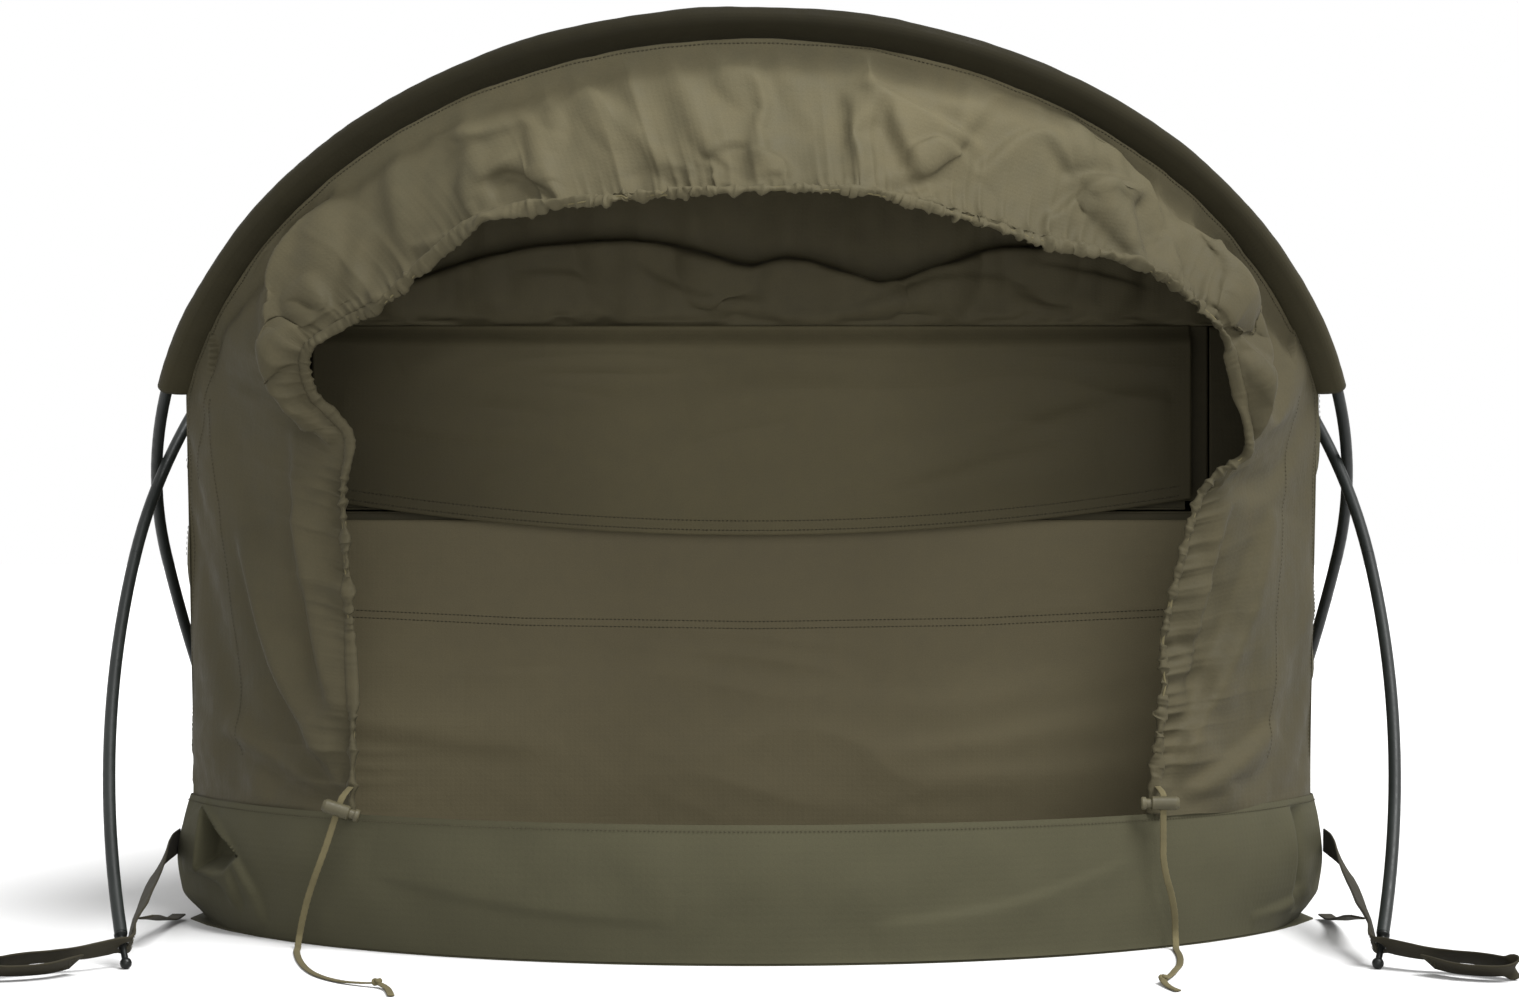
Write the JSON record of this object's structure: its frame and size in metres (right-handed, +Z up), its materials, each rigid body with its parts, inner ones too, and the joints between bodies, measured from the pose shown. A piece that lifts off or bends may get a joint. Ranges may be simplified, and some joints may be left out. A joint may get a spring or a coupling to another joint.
{
  "type": "hooped bivy shelter",
  "caption": "Low one-person bivy shelter on crossed hoop poles: groundsheet tub, gathered hood over the mouth, storm flap and zipped inner door.",
  "frame": {"origin": "middle of the footprint, on the ground", "axes": "+Y towards the foot end (the mouth faces -Y), +X to the right seen from the mouth, +Z up"},
  "size_m": [1.1204, 2.5476, 0.7441],
  "materials": {
    "body_fabric": "coated olive laminate, matte",
    "door_fabric": "olive brown laminate, lightly creased",
    "drawcord": "flat woven braid",
    "eyelet_metal": "blackened brass",
    "ferrule_tube": "plain drawn tube",
    "flap_fabric": "olive laminate with a double stitched hem",
    "hood_fabric": "coated olive laminate, matte, lit from above",
    "inner_fabric": "olive brown laminate",
    "lock_body": "moulded olive plastic, fine grain",
    "lock_button": "moulded olive plastic, fine grain",
    "pole_tube": "black anodised tube, satin",
    "shock_cord": "elastic cord with a woven cover",
    "sleeve_fabric": "dark olive nylon",
    "spring_wire": "drawn spring wire",
    "tip_metal": "black anodised turned tip",
    "tub_fabric": "heavier coated groundsheet fabric, matte",
    "webbing": "ribbed polyamide webbing",
    "zip_metal": "dark lacquered die casting",
    "zip_tape": "woven zip tape with a nylon coil"
  },
  "bodies": {
    "shelter": {"floor_panel": "tub_fabric", "tub_band_front": "tub_fabric", "tub_band_left": "tub_fabric", "tub_band_right": "tub_fabric", "tub_band_foot": "tub_fabric", "hood_left_panel": "hood_fabric", "hood_top_panel": "hood_fabric", "hood_right_panel": "hood_fabric", "hood_hem_channel": "hood_fabric", "hood_drawcord": "drawcord", "side_wall_left": "body_fabric", "side_wall_right": "body_fabric", "roof_panel": "body_fabric", "rear_canopy_left": "body_fabric", "rear_canopy_right": "body_fabric", "foot_end_panel": "body_fabric", "front_pole_sleeve": "sleeve_fabric", "rear_pole_sleeve": "sleeve_fabric", "inner_wall_upper": "inner_fabric", "inner_wall_sides": "inner_fabric", "door_sill": "door_fabric", "zip_tape_upper": "zip_tape", "front_pole_section_1": "pole_tube", "front_pole_section_2": "pole_tube", "front_pole_section_3": "pole_tube", "front_pole_section_4": "pole_tube", "front_pole_section_5": "pole_tube", "front_pole_section_6": "pole_tube", "rear_pole_section_1": "pole_tube", "rear_pole_section_2": "pole_tube", "rear_pole_section_3": "pole_tube", "rear_pole_section_4": "pole_tube", "rear_pole_section_5": "pole_tube", "rear_pole_section_6": "pole_tube", "pole_ferrules": "ferrule_tube", "front_shock_cord": "shock_cord", "rear_shock_cord": "shock_cord", "pole_tips": "tip_metal", "corner_strap_left": "webbing", "corner_strap_right": "webbing", "floor_straps": "webbing", "side_strap_left": "webbing", "side_strap_right": "webbing", "strap_eyelets": "eyelet_metal", "foot_loops": "webbing", "cord_tail_left": "drawcord", "cord_tail_right": "drawcord", "cord_knots": "drawcord"},
    "storm_flap": {"storm_flap": "flap_fabric"},
    "door": {"door_panel": "door_fabric", "zip_tape_lower": "zip_tape"},
    "zip_slider": {"zip_slider": "zip_metal"},
    "zip_puller": {"zip_puller": "zip_metal"},
    "left_cord_lock": {"cord_lock_barrel_left": "lock_body", "cord_lock_spring_left": "spring_wire"},
    "left_lock_button": {"cord_lock_plunger_left": "lock_button"},
    "right_cord_lock": {"cord_lock_barrel_right": "lock_body", "cord_lock_spring_right": "spring_wire"},
    "right_lock_button": {"cord_lock_plunger_right": "lock_button"}
  },
  "joints": [
    {"name": "storm_flap_lift", "type": "hinge", "parent": "shelter", "child": "storm_flap", "pos_m": [0, -0.844, 0.5045], "axis": [-1, 0, 0], "range_deg": [0, 35]},
    {"name": "door_fold", "type": "hinge", "parent": "shelter", "child": "door", "pos_m": [0, -0.834, 0.06], "axis": [-1, 0, 0], "range_deg": [0, 100]},
    {"name": "zip_slide", "type": "slide", "parent": "door", "child": "zip_slider", "axis": [-1, 0, 0], "range_m": [0, 0.756]},
    {"name": "zip_puller_swing", "type": "hinge", "parent": "zip_slider", "child": "zip_puller", "pos_m": [0.378, -0.838, 0.35], "axis": [-1, 0, 0], "range_deg": [0, 80]},
    {"name": "left_lock_slide", "type": "slide", "parent": "shelter", "child": "left_cord_lock", "axis": [-0.309, 0, -0.9511], "range_m": [0, 0.022]},
    {"name": "right_lock_slide", "type": "slide", "parent": "shelter", "child": "right_cord_lock", "axis": [0, 0, -1], "range_m": [0, 0.025]},
    {"name": "left_button_press", "type": "slide", "parent": "left_cord_lock", "child": "left_lock_button", "axis": [-0.9511, 0, 0.309], "range_m": [0, 0.0035], "stiffness_N_per_m": 800, "springref_m": -0.003, "deforming": ["cord_lock_spring_left"]},
    {"name": "right_button_press", "type": "slide", "parent": "right_cord_lock", "child": "right_lock_button", "axis": [1, 0, 0], "range_m": [0, 0.0035], "stiffness_N_per_m": 800, "springref_m": -0.003, "deforming": ["cord_lock_spring_right"]}
  ]
}
